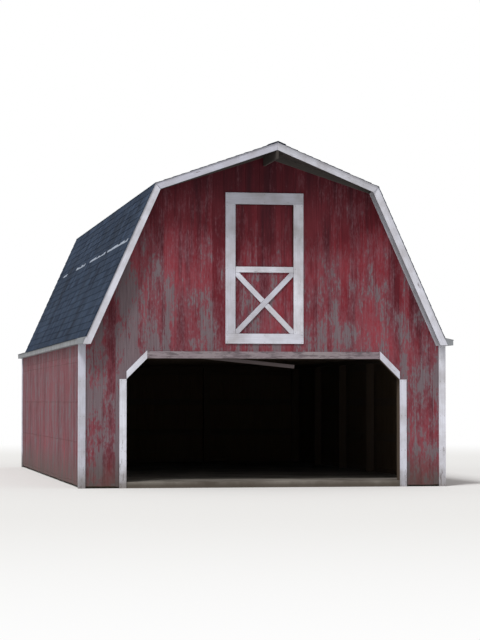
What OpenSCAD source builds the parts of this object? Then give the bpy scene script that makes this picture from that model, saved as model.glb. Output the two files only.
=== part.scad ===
// Gambrel barn: post frame on a concrete slab, vertical boards, shingled roof with a hay hood.
// X runs across the gable, Y from the front to the rear, Z up. The origin is on the ground,
// at the centre of the building.

/* [Building] */
// Width over the boards of the side walls
barn_w = 6096; // [5600:1:7000]
// Length over the boards of the end walls
barn_l = 12192; // [8000:1:14000]
// Height of the wall plates' top above the doorway's head
plate_up = 84; // [60:1:300]
// Thickness of the wall boards
board_t = 22; // [18:1:30]
// Gap between the foot of the boards and the ground
ground_gap = 25; // [10:1:60]
// Thickness of the concrete floor
slab_t = 100; // [80:1:150]

/* [Frame] */
// Side of the square posts
post_size = 140; // [120:1:180]
// Number of posts along each side wall
side_post_count = 6; // [4:1:8]
// Number of posts in the rear wall between the corners
rear_post_count = 2; // [1:1:3]
// Thickness of the girts
girt_t = 38; // [30:1:50]
// Depth of the girts
girt_w = 140; // [90:1:160]
// Number of girt rows up the wall
girt_rows = 4; // [3:1:5]
// Thickness of the wall plates
plate_t = 76; // [38:1:100]

/* [Loft] */
// Thickness of the loft joists
joist_t = 50; // [38:1:60]
// Depth of the loft joists
joist_h = 235; // [200:1:240]
// Largest spacing of the joists and rafters
joist_gap = 610; // [450:1:750]
// Thickness of the loft floor boards
loft_board_t = 19; // [15:1:25]

/* [Roof] */
// Height of the foot of the roof above the wall plates
eave_up = 260; // [240:1:320]
// How far the roof's surface lies inside the wall face at the eave
eave_in = 61; // [40:1:80]
// How far the eave boards stand out from the wall face
eave_out = 80; // [50:1:150]
// Height of the eave boards at the wall
eave_h = 120; // [90:1:140]
// Fall of the top of the eave boards to their outer edge
eave_fall = 35; // [10:1:50]
// Horizontal run of the lower slopes
lower_run = 1125; // [900:1:1300]
// Pitch of the lower slopes in degrees
lower_pitch = 65.8; // [60:0.1:68]
// Pitch of the upper slopes in degrees
upper_pitch = 18; // [15:0.1:24]
// Overhang of the roof at the ends
rake_out = 300; // [200:1:400]
// How much further the hay hood stands out at the ridge
hood_out = 866; // [500:1:1100]
// Thickness of the shingles
shingle_t = 10; // [6:1:15]
// Thickness of the roof deck
deck_t = 19; // [15:1:25]
// Thickness of the rafters
rafter_t = 38; // [30:1:50]
// Depth of the rafters
rafter_h = 140; // [120:1:180]
// Depth of the ridge board
ridge_h = 235; // [180:1:260]
// Depth of the barge rafters behind the rake boards
barge_h = 89; // [60:1:110]
// Width of each side of the ridge cap
cap_w = 150; // [120:1:200]

/* [Doorway] */
// Width of the doorway
door_w = 4572; // [4000:1:4700]
// Height of the doorway's head above ground
door_h = 2116; // [2000:1:2150]
// Length of the slanted corners along each edge
corner_cut = 340; // [250:1:450]
// Side of the braces behind the slanted corners
brace_w = 89; // [60:1:110]

/* [Loft door] */
// Width of the loft doorway
loft_w = 975; // [850:1:1200]
// Height of the sill of the loft doorway above the loft floor
sill_up = 72; // [60:1:250]
// Height of the loft doorway
loft_h = 2135; // [1700:1:2200]
// Width of the boards beside and under the loft doorway
loft_casing_w = 165; // [120:1:200]
// Width of the board over the loft doorway
loft_head_w = 190; // [140:1:220]
// Thickness of the loft doorway's frame
loft_frame_t = 60; // [38:1:80]
// Depth of the loft doorway's frame
loft_frame_d = 89; // [80:1:140]
// Gap round the leaves of the loft door
leaf_gap = 4; // [2:1:8]
// Height of the lower leaf of the loft door
lower_leaf_h = 1104; // [900:1:1250]
// Thickness of the leaves of the loft door
leaf_t = 38; // [30:1:50]
// How far the lower leaf lies behind the wall face
lower_inset = 8; // [4:1:12]
// How far the upper leaf lies behind the wall face
upper_inset = 40; // [20:1:60]

/* [Trim] */
// Thickness of the white trim boards
trim_t = 22; // [15:1:30]
// Width of the doorway's casings and the faces of the corner boards
trim_w = 115; // [90:1:160]
// Width of the rake boards
rake_w = 115; // [100:1:180]
// Width of the frieze boards
frieze_w = 90; // [60:1:140]
// Width of the slanted corner boards of the doorway
slant_w = 92; // [70:1:120]
// Width of the rail of the loft door
rail_w = 95; // [70:1:120]
// Width of the cross boards of the loft door
cross_w = 85; // [60:1:110]
// How far the shingles lap past the rake boards
shingle_lap = 15; // [5:1:30]
// Open joint between boards that meet at a mitre
joint = 3; // [1:0.5:5]

/* [Loose board] */
// Length of the loose board
loose_l = 2350; // [1600:1:2600]
// Width of the loose board
loose_w = 60; // [40:1:80]
// How far its nailed end lies left of the middle
loose_x = 1800; // [1500:1:1900]
// How far its nailed end lies above the doorway's head
loose_up = 82; // [20:1:120]
// How far its other end hangs below the doorway's head
loose_sag = 158; // [80:1:180]

/* [Hidden] */

half_w = barn_w / 2;
half_l = barn_l / 2;
// Back faces of the wall boards, and outer and inner faces of the posts
back_x = half_w - board_t;
back_y = half_l - board_t;
post_x = back_x - girt_t;
post_y = back_y - girt_t;
room_x = post_x - post_size;
room_y = post_y - post_size;
plate_z = door_h + plate_up;
plate_bottom = plate_z - plate_t;
loft_z = plate_z + joist_h;
eave_z = plate_z + eave_up;
loft_sill = loft_z + loft_board_t + sill_up;
deck_d = shingle_t + deck_t;
// Knee and ridge of the roof's outer surface
knee_x = half_w - eave_in - lower_run;
knee_z = eave_z + lower_run * tan(lower_pitch);
ridge_z = knee_z + knee_x * tan(upper_pitch);
upper_l = knee_x / cos(upper_pitch);
lower_l = lower_run / cos(lower_pitch);
mid_pitch = (upper_pitch + lower_pitch) / 2;
ridge_top = upper_z(rafter_t / 2, deck_d);
rake_y = half_l + rake_out;
// Room for the mitre cuts past the knee, the ridge and the eave
spare = 400;
big = 4 * barn_l;
// How far a cut runs on past the faces that it opens
past = 1;
// Top of the side walls, under the eave boards
wall_top = eave_z - eave_h;
// Evenly spread rafters, the first and last against the end walls
rafter_count = ceil((2 * back_y - rafter_t) / joist_gap) + 1;
rafter_step = (2 * back_y - rafter_t) / (rafter_count - 1);
rafter_ys = [for (i = [0 : rafter_count - 1]) -back_y + rafter_t / 2 + i * rafter_step];
post_step = 2 * (room_y + post_size / 2) / (side_post_count - 1);
girt_step = (plate_bottom - girt_w - ground_gap) / (girt_rows - 1);
door_x = door_w / 2;

// X of the lower slope at a height, at a depth under the roof's outer surface
function lower_x(z, d) = knee_x + (knee_z - z) / tan(lower_pitch) - d / sin(lower_pitch);

// Height of the upper slope over an X, at a depth under the roof's outer surface
function upper_z(x, d) = knee_z + (knee_x - x) * tan(upper_pitch) - d / cos(upper_pitch);

// Corner of the two slopes at a depth under the roof's outer surface
function knee_at(d) = let (c = d / cos((lower_pitch - upper_pitch) / 2))
    [knee_x - c * sin(mid_pitch), knee_z - c * cos(mid_pitch)];

// Outline of the gable from a height up to a depth under the roof's outer surface
function gable(z, d) = [[-back_x, z], [back_x, z], [back_x, wall_top], [lower_x(wall_top, d), wall_top],
    knee_at(d), [0, upper_z(0, d)], [-knee_at(d).x, knee_at(d).y], [-lower_x(wall_top, d), wall_top],
    [-back_x, wall_top]];

// A flat piece drawn in X and Z, standing with its front at a Y
module upright(y, t) translate([0, y + t, 0]) rotate([90, 0, 0]) linear_extrude(t) children();

// A box given by its lowest and highest corners
module block(low, high) translate(low) cube(high - low);

module both_sides() {
    children();
    mirror([1, 0, 0]) children();
}

// Everything on the ridge's side of the knee mitre, right slope
module above_knee() translate([knee_x, 0, knee_z]) rotate([0, mid_pitch, 0])
    translate([-big - joint / 2, -big / 2, -big / 2]) cube(big);

// Everything on the eave's side of the knee mitre, right slope
module below_knee() translate([knee_x, 0, knee_z]) rotate([0, mid_pitch, 0])
    translate([joint / 2, -big / 2, -big / 2]) cube(big);

// A flat layer of the right upper slope: a drawing in the slope's plane, X down the slope
module upper_layer(d, t, ridge_cut) intersection() {
    translate([0, 0, ridge_z]) rotate([0, upper_pitch, 0]) translate([0, 0, -d - t])
        linear_extrude(t) children();
    above_knee();
    block([ridge_cut, -big / 2, 0], [big, big / 2, big]);
}

// A flat layer of the right lower slope, cut level at its foot
module lower_layer(d, t, foot) intersection() {
    translate([knee_x, 0, knee_z]) rotate([0, lower_pitch, 0]) translate([0, 0, -d - t])
        linear_extrude(t) children();
    below_knee();
    block([0, -big / 2, foot], [big, big / 2, big]);
}

// The slanted front edge of the hood: Y at a distance down the upper slope
function hood_y(u) = -rake_y - hood_out * (1 - u / upper_l);

// What a board that follows the slanted edge takes up along Y for its thickness
function slanted(t) = t * sqrt(1 + pow(hood_out / upper_l, 2));

// Outline of a board along the hood's edge, between two distances behind that edge
module hood_strip(front, back) polygon([for (e = [[-spare, front], [upper_l + spare, front],
    [upper_l + spare, back], [-spare, back]]) [e.x, hood_y(e.x) + slanted(e.y)]]);

// Outline of a board straight down a slope of a length, between two distances along Y
module slope_strip(length, front, back) translate([-spare, front])
    square([length + 2 * spare, back - front]);

// Outline of the upper slope in its own plane, with its edges moved out by a lap
module upper_outline(lap) polygon([[-spare, hood_y(-spare) - slanted(lap)],
    [upper_l + spare, hood_y(upper_l + spare) - slanted(lap)], [upper_l + spare, rake_y + lap],
    [-spare, rake_y + lap]]);

module lower_outline(lap) slope_strip(lower_l, -rake_y - lap, rake_y + lap);

module roof_skin(d, t, lap) {
    upper_layer(d, t, joint / 2) upper_outline(lap);
    lower_layer(d, t, eave_z) lower_outline(lap);
}

// The floor reaches under the doorway's posts, and out to the wall face between them
module floor_slab() color("#8F8C86") {
    block([-post_x, -post_y, 0], [post_x, post_y, slab_t]);
    block([-door_x - post_size, -back_y, 0], [door_x + post_size, 0, slab_t]);
    block([-door_x, -half_l, 0], [door_x, 0, slab_t]);
}

// A post from the floor to the plates, given by the middle of its foot
module post(x, y) translate([x - post_size / 2, y - post_size / 2, slab_t])
    cube([post_size, post_size, plate_bottom - slab_t]);

module side_posts() color("#6E5F50") both_sides() for (i = [0 : side_post_count - 1])
    post(room_x + post_size / 2, -room_y - post_size / 2 + i * post_step);

module rear_posts() color("#6E5F50") for (i = [1 : rear_post_count])
    post(-room_x + i * 2 * room_x / (rear_post_count + 1), room_y + post_size / 2);

module door_posts() color("#6E5F50") both_sides()
    block([door_x, -back_y, slab_t], [door_x + post_size, -room_y, door_h]);

module side_girts() color("#7A6A58") both_sides() for (i = [0 : girt_rows - 1])
    translate([post_x, -back_y, ground_gap + i * girt_step]) cube([girt_t, 2 * back_y, girt_w]);

module front_girts() color("#7A6A58") both_sides() for (i = [0 : girt_rows - 1])
    translate([door_x + post_size, -back_y, ground_gap + i * girt_step])
        cube([post_x - door_x - post_size, girt_t, girt_w]);

module rear_girts() color("#7A6A58") for (i = [0 : girt_rows - 1])
    translate([-post_x, post_y, ground_gap + i * girt_step]) cube([2 * post_x, girt_t, girt_w]);

module side_plates() color("#7A6A58") both_sides()
    block([room_x, -back_y, plate_bottom], [back_x, back_y, plate_z]);

module rear_plate() color("#7A6A58") block([-room_x, room_y, plate_bottom], [room_x, back_y, plate_z]);

// The braces stand between the doorway's posts and its header
module door_braces() color("#6E5F50") both_sides() upright(-back_y, brace_w)
    let (w = brace_w * sqrt(2), top_x = door_x - corner_cut, side_z = door_h - corner_cut)
        polygon([[door_x, side_z], [door_x, side_z + w], [top_x + w, door_h], [top_x, door_h]]);

module door_header() color("#6E5F50")
    block([-door_x - post_size, -back_y, door_h], [door_x + post_size, -room_y, loft_z]);

// Joists lie beside the rafters, with their ends cut to the slope of the roof
module loft_joists() color("#7A6A58") for (i = [1 : rafter_count - 2])
    upright(rafter_ys[i] + rafter_t / 2, joist_t)
        let (low = lower_x(wall_top, deck_d), high = lower_x(loft_z, deck_d))
            polygon([[-back_x, plate_z], [back_x, plate_z], [back_x, wall_top], [low, wall_top],
                [high, loft_z], [-high, loft_z], [-low, wall_top], [-back_x, wall_top]]);

module loft_floor() color("#75695C") let (x = lower_x(loft_z, deck_d + rafter_h))
    block([-x, -back_y, loft_z], [x, back_y, loft_z + loft_board_t]);

module side_wall() block([back_x, -half_l, ground_gap], [half_w, half_l, wall_top]);

module left_wall() color("#6B2A2E") mirror([1, 0, 0]) side_wall();

module right_wall() color("#6B2A2E") side_wall();

// Where the ridge board passes through both end walls
module ridge_notch() block([-rafter_t / 2, -half_l - past, ridge_top - ridge_h],
    [rafter_t / 2, half_l + past, ridge_z]);

// The loft doorway, between two distances along Y
module loft_opening(y0, y1) block([-loft_w / 2, y0, loft_sill], [loft_w / 2, y1, loft_sill + loft_h]);

module rear_wall() color("#6B2A2E") difference() {
    upright(back_y, board_t) polygon(gable(ground_gap, deck_d));
    ridge_notch();
}

// The front boards, as one sheet with the doorway, the loft doorway and the ridge board's notch
module front_sheet() difference() {
    upright(-half_l, board_t) polygon(gable(ground_gap, deck_d));
    upright(-half_l - past, board_t + 2 * past)
        let (top_x = door_x - corner_cut, side_z = door_h - corner_cut)
            polygon([[-door_x, 0], [door_x, 0], [door_x, side_z], [top_x, door_h], [-top_x, door_h],
                [-door_x, side_z]]);
    loft_opening(-half_l - past, -back_y + past);
    ridge_notch();
}

module front_wall_side() intersection() {
    front_sheet();
    block([door_x, -half_l, 0], [half_w, -back_y, ridge_z]);
}

module front_wall_left() color("#6B2A2E") mirror([1, 0, 0]) front_wall_side();

module front_wall_right() color("#6B2A2E") front_wall_side();

module front_wall_over() color("#6B2A2E") intersection() {
    front_sheet();
    block([-door_x, -half_l, door_h - corner_cut], [door_x, -back_y, ridge_z]);
}

// A corner board is two boards that lap round the corner of the walls
module corner_board() difference() {
    translate([half_w + trim_t - trim_w, half_l + trim_t - trim_w, 0]) cube([trim_w, trim_w, wall_top]);
    block([0, 0, -past], [half_w, half_l, wall_top + past]);
}

module front_corner_boards() color("#CFC9C4") mirror([0, 1, 0]) both_sides() corner_board();

module rear_corner_boards() color("#CFC9C4") both_sides() corner_board();

module door_casings() color("#CFC9C4") both_sides()
    block([door_x, -half_l - trim_t, 0], [door_x + trim_w, -half_l, door_h - corner_cut]);

module door_head_casing() color("#9A8A8E") upright(-half_l - trim_t, trim_t) let (x = door_x - corner_cut)
    polygon([[-x, door_h], [x, door_h], [x, door_h + trim_w], [-x, door_h + trim_w]]);

module door_slant_boards() color("#E4DEDC") both_sides() upright(-half_l - trim_t, trim_t)
    let (w = slant_w * sqrt(2))
        polygon([[door_x, door_h - corner_cut], [door_x - corner_cut + joint, door_h],
            [door_x - corner_cut + joint, door_h + w], [door_x, door_h - corner_cut + w]]);

// A stop board on the header's inner face: its left end is nailed, and its right end has dropped
module loose_head_board() color("#B9A98F") upright(-room_y, board_t)
    translate([-loose_x, door_h + loose_up]) rotate(-asin((loose_up + loose_sag) / loose_l))
        square([loose_l, loose_w]);

// The frame stands on the loft floor behind the boards
module loft_door_frame() color("#7A6A58") difference() {
    block([-loft_w / 2 - loft_frame_t, -back_y, loft_z + loft_board_t],
        [loft_w / 2 + loft_frame_t, -back_y + loft_frame_d, loft_sill + loft_h + loft_frame_t]);
    loft_opening(-back_y - past, 0);
}

module leaf(inset, z0, z1) translate([0, -half_l + inset, loft_sill])
    block([leaf_gap - loft_w / 2, 0, z0], [loft_w / 2 - leaf_gap, leaf_t, z1]);

module loft_door_upper() color("#722E32") leaf(upper_inset, lower_leaf_h + leaf_gap, loft_h - leaf_gap);

module loft_door_lower() color("#722E32") leaf(lower_inset, leaf_gap, lower_leaf_h);

module loft_door_casing() color("#CDD1DC") difference() {
    let (x = loft_w / 2 + loft_casing_w) block([-x, -half_l - trim_t, loft_sill - loft_casing_w],
        [x, -half_l, loft_sill + loft_h + loft_head_w]);
    loft_opening(-half_l - trim_t - past, -half_l + past);
}

// A board of a width from corner to corner of the lower leaf's field, its ends cut to the corners
module diagonal(w) let (field = [loft_w - 2 * leaf_gap, lower_leaf_h - rail_w - joint - leaf_gap])
    translate([-field.x / 2, leaf_gap]) intersection() {
        square(field);
        rotate(atan2(field.y, field.x)) translate([-w, -w / 2]) square([norm(field) + 2 * w, w]);
    }

// The rail, one long arm, and the other arm in two lengths that butt against it
module loft_door_cross() color("#D9D8DE") upright(-half_l + lower_inset - trim_t, trim_t)
    translate([0, loft_sill]) {
        translate([leaf_gap - loft_w / 2, lower_leaf_h - rail_w]) square([loft_w - 2 * leaf_gap, rail_w]);
        diagonal(cross_w);
        difference() {
            mirror([1, 0]) diagonal(cross_w);
            diagonal(cross_w + 2 * joint);
        }
    }

// A pair of rafters for the right slope: the lower one seats on the plate, the upper meets the ridge board
module rafter_pair(y) {
    upper_layer(deck_d, rafter_h, rafter_t / 2) slope_strip(upper_l, y - rafter_t / 2, y + rafter_t / 2);
    intersection() {
        lower_layer(deck_d, rafter_h, plate_z) slope_strip(lower_l, y - rafter_t / 2, y + rafter_t / 2);
        block([0, -half_l, 0], [back_x, half_l, ridge_z]);
    }
}

module right_rafters() color("#7A6A58") for (y = rafter_ys) rafter_pair(y);

module left_rafters() color("#7A6A58") mirror([1, 0, 0]) for (y = rafter_ys) rafter_pair(y);

// The ridge board runs out at both ends, up to the backs of the rake boards
module ridge_board() color("#7A6A58") let (front = hood_y(rafter_t / 2 / cos(upper_pitch)))
    block([-rafter_t / 2, front, ridge_top - ridge_h], [rafter_t / 2, rake_y, ridge_top]);

// The barge rafters of the right side carry the rake boards, and run into the ridge board
module barge_set() {
    upper_layer(deck_d, barge_h, rafter_t / 2) {
        hood_strip(0, rafter_t);
        slope_strip(upper_l, rake_y - rafter_t, rake_y);
    }
    lower_layer(deck_d, barge_h, wall_top) {
        slope_strip(lower_l, -rake_y, -rake_y + rafter_t);
        slope_strip(lower_l, rake_y - rafter_t, rake_y);
    }
}

module barge_rafters() color("#9B948B") both_sides() barge_set();

module right_roof_deck() color("#A8A39C") roof_skin(shingle_t, deck_t, 0);

module left_roof_deck() color("#A8A39C") mirror([1, 0, 0]) roof_skin(shingle_t, deck_t, 0);

module right_shingles() color("#39445A") roof_skin(0, shingle_t, trim_t + shingle_lap);

module left_shingles() color("#39445A") mirror([1, 0, 0]) roof_skin(0, shingle_t, trim_t + shingle_lap);

// A cap of two flat wings, bent over the ridge
module ridge_cap() color("#333D52") both_sides() intersection() {
    translate([0, 0, ridge_z]) rotate([0, upper_pitch, 0])
        linear_extrude(shingle_t) intersection() {
            upper_outline(trim_t + shingle_lap);
            translate([-cap_w, -big / 2]) square([2 * cap_w, big]);
        }
    block([0, -big / 2, 0], [big, big / 2, big]);
}

module front_rakes() color("#DAD7D8") both_sides() {
    upper_layer(shingle_t, rake_w, joint / 2) hood_strip(-trim_t, 0);
    lower_layer(shingle_t, rake_w, wall_top) slope_strip(lower_l, -rake_y - trim_t, -rake_y);
}

module rear_rakes() color("#DAD7D8") both_sides() {
    upper_layer(shingle_t, rake_w, joint / 2) slope_strip(upper_l, rake_y, rake_y + trim_t);
    lower_layer(shingle_t, rake_w, wall_top) slope_strip(lower_l, rake_y, rake_y + trim_t);
}

// The frieze boards of the right side lie on the rear wall's face, close under the deck
module frieze_pair() {
    upper_layer(deck_d, frieze_w, joint / 2 + rafter_t / 2) slope_strip(upper_l, half_l, half_l + trim_t);
    lower_layer(deck_d, frieze_w, wall_top) slope_strip(lower_l, half_l, half_l + trim_t);
}

module front_frieze() color("#C8C6C9") mirror([0, 1, 0]) both_sides() frieze_pair();

module rear_frieze() color("#C8C6C9") both_sides() frieze_pair();

// Height of the eave board's sloped top over an X
function ledge_z(x) = let (foot = lower_x(eave_z, 0))
    eave_z - eave_fall * (x - foot) / (half_w + eave_out - foot);

// A piece with an outline in X and Z, from the front to the rear end
module along_eave(end_y) translate([0, end_y, 0]) rotate([90, 0, 0]) linear_extrude(2 * end_y) children();

// The eave boards close the heads of the side walls and carry the foot of the roof
module eave_boards() color("#BFC0C4") both_sides() along_eave(rake_y) let (x = half_w + eave_out)
    polygon([[lower_x(eave_z, deck_d), eave_z], [lower_x(eave_z, 0), eave_z], [x, ledge_z(x)],
        [x, wall_top], [lower_x(wall_top, deck_d), wall_top]]);

// The strips of shingle that cover the tops of the eave boards and drip past their edges
module eave_strips() color("#39445A") both_sides() along_eave(rake_y)
    let (x = half_w + eave_out + shingle_lap, z = ledge_z(x))
        polygon([[lower_x(eave_z, 0), eave_z], [x, z], [x, z + shingle_t],
            [lower_x(eave_z + shingle_t, 0), eave_z + shingle_t]]);

floor_slab();
side_posts();
rear_posts();
door_posts();
side_girts();
front_girts();
rear_girts();
side_plates();
rear_plate();
door_braces();
door_header();
loft_joists();
loft_floor();
left_wall();
right_wall();
rear_wall();
front_wall_left();
front_wall_right();
front_wall_over();
front_corner_boards();
rear_corner_boards();
door_casings();
door_head_casing();
door_slant_boards();
loose_head_board();
loft_door_frame();
loft_door_upper();
loft_door_lower();
loft_door_casing();
loft_door_cross();
left_rafters();
right_rafters();
ridge_board();
barge_rafters();
left_roof_deck();
right_roof_deck();
left_shingles();
right_shingles();
ridge_cap();
front_rakes();
rear_rakes();
front_frieze();
rear_frieze();
eave_boards();
eave_strips();
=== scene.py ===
"""A small red gambrel barn as it stands: a post frame on a concrete floor, upright boards in barn paint,
white trim, a loft door, and a shingled roof that runs out in front to a hay hood.

Lengths are in metres. X runs across the gable, Y from the front to the rear, Z up.
"""
import functools
import math

import bmesh
import bpy
import numpy as np
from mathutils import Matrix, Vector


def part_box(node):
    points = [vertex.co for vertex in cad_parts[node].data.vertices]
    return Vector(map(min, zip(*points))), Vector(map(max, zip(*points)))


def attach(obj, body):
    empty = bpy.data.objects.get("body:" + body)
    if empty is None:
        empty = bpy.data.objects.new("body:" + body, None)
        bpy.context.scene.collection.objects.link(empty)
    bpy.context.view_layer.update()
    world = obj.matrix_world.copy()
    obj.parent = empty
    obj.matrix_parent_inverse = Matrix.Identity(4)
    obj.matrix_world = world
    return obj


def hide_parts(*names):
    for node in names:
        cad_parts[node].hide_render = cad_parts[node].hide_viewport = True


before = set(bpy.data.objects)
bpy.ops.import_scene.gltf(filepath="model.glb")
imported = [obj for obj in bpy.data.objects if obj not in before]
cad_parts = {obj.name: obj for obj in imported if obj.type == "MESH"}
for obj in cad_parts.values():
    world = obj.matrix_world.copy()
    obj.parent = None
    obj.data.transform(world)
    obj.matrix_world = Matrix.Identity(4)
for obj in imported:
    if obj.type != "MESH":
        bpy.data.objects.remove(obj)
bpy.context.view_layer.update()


# The floor
# A slab of concrete, cast inside the walls, struck off level and drawn over with a stiff broom. Dust, hay
# and the dirt of tyres have worked into the marks, so it is darker than new concrete.
def linear(code):
    """A hex colour as linear RGBA: an sRGB channel c becomes ((c + 0.055) / 1.055) to the power 2.4, or
    c / 12.92 where it is 0.04045 or less."""
    channels = [int(code[i:i + 2], 16) / 255 for i in (1, 3, 5)]
    return [((c + 0.055) / 1.055) ** 2.4 if c > 0.04045 else c / 12.92 for c in channels] + [1.0]


def add_node(tree, kind, inputs=None, output=None, **settings):
    """Adds a shader node. Settings are set on the node, and inputs on its sockets, found by name or number:
    a value, a hex colour or a link from an output. Returns the output asked for, or the first."""
    node = tree.nodes.new("ShaderNode" + kind)
    for setting, value in settings.items():
        setattr(node, setting, value)
    for key, value in (inputs or {}).items():
        named = [s for s in node.inputs if s.enabled and s.name == key]
        socket = named[0] if named else node.inputs[key]
        if isinstance(value, bpy.types.NodeSocket):
            tree.links.new(value, socket)
        else:
            socket.default_value = linear(value) if isinstance(value, str) else value
    return node.outputs[output] if output else next((s for s in node.outputs if s.enabled), None)


def start_finish(name):
    """A new material with an empty node tree, and add_node tied to that tree."""
    material = bpy.data.materials.new(name)
    material.use_nodes = True
    material.node_tree.nodes.clear()
    return material, functools.partial(add_node, material.node_tree)


def drawn_out(add, place, scale, detail, roughness=0.5, location=(0.0, 0.0, 0.0)):
    """A noise pattern drawn out along the axes: its marks are about 1 / scale metres long on each."""
    drawn = add("Mapping", {"Vector": place, "Location": location, "Scale": scale})
    return add("TexNoise", {"Vector": drawn, "Scale": 1.0, "Detail": detail, "Roughness": roughness})


def coated(add, colour, *coats):
    """A colour under coats of (share, colour), from the lowest up, each hiding its share of what is below."""
    for share, coat in coats:
        colour = add("Mix", {"Factor": share, "A": colour, "B": coat}, data_type="RGBA")
    return colour


def end_finish(add, relief, strength, deep, inputs):
    """Closes a node tree: a relief so many metres deep, as a bump, the Principled shader and the output."""
    normal = add("Bump", {"Height": relief, "Strength": strength, "Distance": deep})
    add("OutputMaterial", {"Surface": add("BsdfPrincipled", {"Normal": normal, **inputs})})


def concrete_finish():
    """Broomed concrete. Bristle marks are about 3 mm apart, and are drawn 10 mm apart so that they show."""
    material, add = start_finish("broomed_concrete")
    place = add("TexCoord", output="Object")
    height = add("SeparateXYZ", {"Vector": place}, output="Z")
    bristles = drawn_out(add, place, (5.0, 100.0, 5.0), 4.0)
    blotches = add("TexNoise", {"Vector": place, "Scale": 0.9, "Detail": 8.0, "Roughness": 0.65})
    dirt = add("MapRange", {"Value": blotches, "From Min": 0.4, "From Max": 0.62})
    mud = add("MapRange", {"Value": height, "From Min": 0.098, "From Max": 0.04, "To Max": 0.8})
    colour = coated(add, "#6F6A63", (bristles, "#88827A"), (dirt, "#4E463E"), (mud, "#443C33"))
    end_finish(add, bristles, 0.5, 0.003, {"Base Color": colour, "Roughness": 0.92})
    return material


def dress(material, *nodes):
    """Gives CAD nodes a finish."""
    for name in nodes:
        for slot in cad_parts[name].material_slots:
            slot.material = material


dress(concrete_finish(), "floor_slab")


# The frame
# Posts, girts, plates, joists, rafters and braces of softwood straight from the saw, spiked together and
# never painted. The saw left marks across the grain, and the wood is brown and dusty, its colours kept dark
# partly as painted shade of the barn's dark inside; the ridge board, whose end stands out under the hood, is
# darker still, partly with damp and partly as painted shade of the hood.
X, Y, Z = range(3)


# The default colours are kept dark: old dusty wood, and painted shade of the barn's dark inside.
def sawn_timber(name, grain, dark="#33281F", pale="#64523F", dusty="#574C42"):
    """Rough sawn softwood, from a dark to a pale colour, with its grain along one axis. Fibres 1 to 2 mm
    wide are drawn 12 mm wide; the marks of the saw lie across them, drawn 9 mm apart."""
    material, add = start_finish(name)
    place = add("TexCoord", output="Object")

    def pattern(across, along, detail, roughness=0.5):
        scale = [across] * 3
        scale[grain] = along
        return drawn_out(add, place, scale, detail, roughness)

    fibres = pattern(80.0, 2.0, 6.0, 0.6)
    bands = pattern(9.0, 0.4, 3.0)
    saw = pattern(6.0, 110.0, 2.0)
    dust = add("MapRange", {"Value": bands, "From Min": 0.4, "From Max": 0.7, "To Max": 0.6})
    colour = coated(add, dark, (fibres, pale), (dust, dusty))
    relief = add("Math", {0: fibres, 1: saw}, operation="ADD")
    end_finish(add, relief, 0.5, 0.002, {"Base Color": colour, "Roughness": 0.88})
    return material


dress(sawn_timber("sawn_timber_across", X), "front_girts", "rear_girts", "rear_plate", "door_header",
      "loft_joists", "left_rafters", "right_rafters")
dress(sawn_timber("sawn_timber_lengthwise", Y), "side_girts", "side_plates")
dress(sawn_timber("sawn_timber_upright", Z), "side_posts", "rear_posts", "door_posts", "door_braces",
      "loft_door_frame")
# The ridge board: damp wood, darkened further as painted shade of the hood.
dress(sawn_timber("damp_dark_timber", Y, "#26211E", "#47403A", "#35302C"), "ridge_board")


# The loft floor
# Boards of rough softwood, 19 mm thick, nailed side by side along the barn, over the joists. Their
# undersides show from the doorway, between the joists.
EASE = 0.003
LOFT_BOARD_W = 0.19
LYING_ALONG_Y = [(1, 0, 0), (0, 0, 1), (0, 1, 0)]
FACE = slice(6)


def level(value):
    """A cut at the same place all over a board's end."""
    return lambda across, out: value + 0 * across


def columns_between(joints, folds=()):
    """Six places across each board between neighbouring joints: its edges, where they ease into the face,
    and its thirds. A fold, where a cut changes its slope, takes the nearest place."""
    left, right = joints[:-1], joints[1:]
    columns = np.stack([left, left + EASE, (2 * left + right) / 3, (left + 2 * right) / 3,
                        right - EASE, right], axis=1)
    for fold in folds:
        board = np.nonzero((left + EASE < fold) & (fold < right - EASE))[0]
        nearest = np.where(abs(columns[board, 3] - fold) < abs(columns[board, 2] - fold), 3, 2)
        columns[board, nearest] = fold
    return columns


def board_rings(columns, thick, low, high, stations=5, warp=0.0, seed=1):
    """Rings of points round boards, as (across, out, along). A ring goes over the face through the board's
    columns and back behind them, with its edges eased. Its points run along the board in equal steps from
    low(across, out) to high(across, out). Warp is the most that a face lies back, and that a board bows."""
    draw = np.random.default_rng(seed)
    across = np.concatenate([columns, columns[:, ::-1]], axis=1)
    eased = np.array([EASE, 0, 0, 0, 0, EASE])
    out = np.broadcast_to(np.concatenate([thick - eased, eased]), across.shape)
    start, end = low(across, out), high(across, out)
    share = np.linspace(0, 1, stations)[None, :, None]
    along = start[:, None] + (end - start)[:, None] * share
    back, bow = draw.uniform(0, warp, (2, len(columns), 1, 1))
    out = out[:, None] - back - bow * np.sin(math.pi * share)
    return points(across[:, None], out, along)


def points(*parts):
    """An array of points from the arrays of their three parts."""
    return np.stack(np.broadcast_arrays(*parts), axis=-1)


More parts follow.
